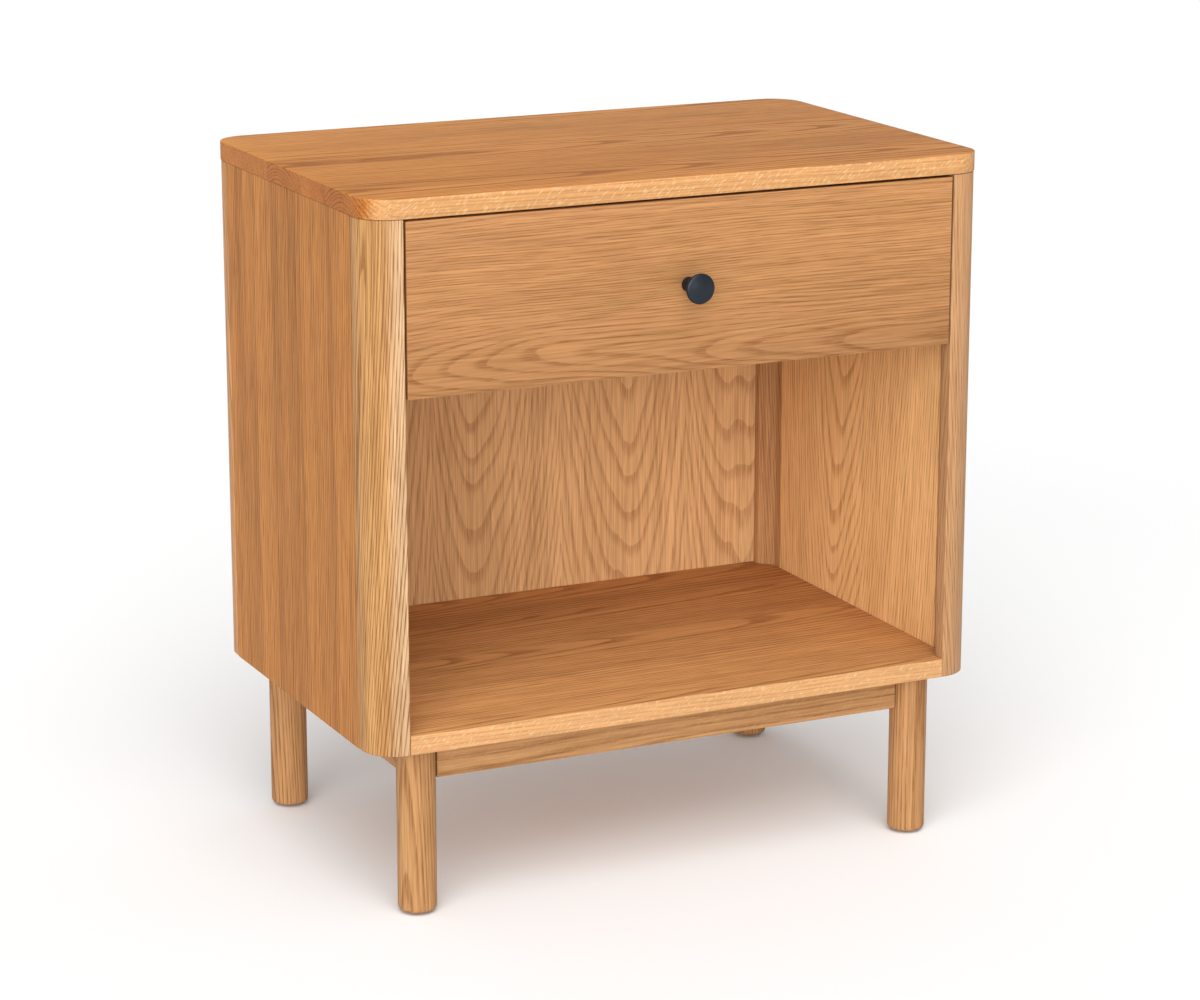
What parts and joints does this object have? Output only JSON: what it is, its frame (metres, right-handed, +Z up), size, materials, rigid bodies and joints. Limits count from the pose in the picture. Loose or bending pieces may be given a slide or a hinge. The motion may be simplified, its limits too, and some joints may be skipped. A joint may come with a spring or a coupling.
{
  "type": "bedside cabinet",
  "caption": "Oak bedside cabinet on round legs, with a full-width drawer on telescopic runners over an open compartment.",
  "frame": {"origin": "on the floor, at the bottom centre of the whole object, knob included", "axes": "+Z up, +Y towards the back, so the drawer opens along -Y; +X to the right seen from the front"},
  "size_m": [0.551, 0.3754, 0.591],
  "materials": {
    "solid_oak": "satin lacquer",
    "oak_veneer": "satin lacquer",
    "drawer_wood": "clear lacquer",
    "black_metal": "satin",
    "zinc_steel": "zinc plated",
    "nylon": "matt"
  },
  "bodies": {
    "cabinet": {"back_apron": "solid_oak", "back_left_base_screw": "zinc_steel", "back_left_corner_block": "drawer_wood", "back_left_glide": "nylon", "back_left_leg": "solid_oak", "back_left_post": "solid_oak", "back_panel": "oak_veneer", "back_right_base_screw": "zinc_steel", "back_right_corner_block": "drawer_wood", "back_right_glide": "nylon", "back_right_leg": "solid_oak", "back_right_post": "solid_oak", "back_top_rail": "drawer_wood", "bottom_shelf": "solid_oak", "front_apron": "solid_oak", "front_left_base_screw": "zinc_steel", "front_left_corner_block": "drawer_wood", "front_left_glide": "nylon", "front_left_leg": "solid_oak", "front_left_post": "solid_oak", "front_right_base_screw": "zinc_steel", "front_right_corner_block": "drawer_wood", "front_right_glide": "nylon", "front_right_leg": "solid_oak", "front_right_post": "solid_oak", "front_top_rail": "drawer_wood", "left_apron": "solid_oak", "left_cabinet_screw_back": "zinc_steel", "left_cabinet_screw_front": "zinc_steel", "left_runner_outer": "zinc_steel", "left_runner_spacer": "drawer_wood", "left_side_panel": "oak_veneer", "right_apron": "solid_oak", "right_cabinet_screw_back": "zinc_steel", "right_cabinet_screw_front": "zinc_steel", "right_runner_outer": "zinc_steel", "right_runner_spacer": "drawer_wood", "right_side_panel": "oak_veneer", "top_panel": "solid_oak", "top_screw_back": "zinc_steel", "top_screw_front_left": "zinc_steel", "top_screw_front_right": "zinc_steel"},
    "drawer": {"drawer_bottom": "oak_veneer", "drawer_box_back": "drawer_wood", "drawer_box_front": "drawer_wood", "drawer_front": "solid_oak", "drawer_front_screw_left": "zinc_steel", "drawer_front_screw_right": "zinc_steel", "drawer_left_side": "drawer_wood", "drawer_right_side": "drawer_wood", "knob": "black_metal", "knob_screw": "zinc_steel", "left_drawer_screw_back": "zinc_steel", "left_drawer_screw_front": "zinc_steel", "left_runner_inner": "zinc_steel", "right_drawer_screw_back": "zinc_steel", "right_drawer_screw_front": "zinc_steel", "right_runner_inner": "zinc_steel"},
    "left_middle_rail": {"left_runner_middle": "zinc_steel"},
    "right_middle_rail": {"right_runner_middle": "zinc_steel"}
  },
  "joints": [
    {"name": "drawer_slide", "type": "slide", "parent": "cabinet", "child": "drawer", "axis": [0, -1, 0], "range_m": [0, 0.25]},
    {"name": "left_middle_slide", "type": "slide", "parent": "cabinet", "child": "left_middle_rail", "axis": [0, -1, 0], "range_m": [0, 0.125]},
    {"name": "right_middle_slide", "type": "slide", "parent": "cabinet", "child": "right_middle_rail", "axis": [0, -1, 0], "range_m": [0, 0.125]}
  ],
  "couplings": [
    {"joint": "left_middle_slide", "follows": "drawer_slide", "ratio": 0.5},
    {"joint": "right_middle_slide", "follows": "drawer_slide", "ratio": 0.5}
  ]
}
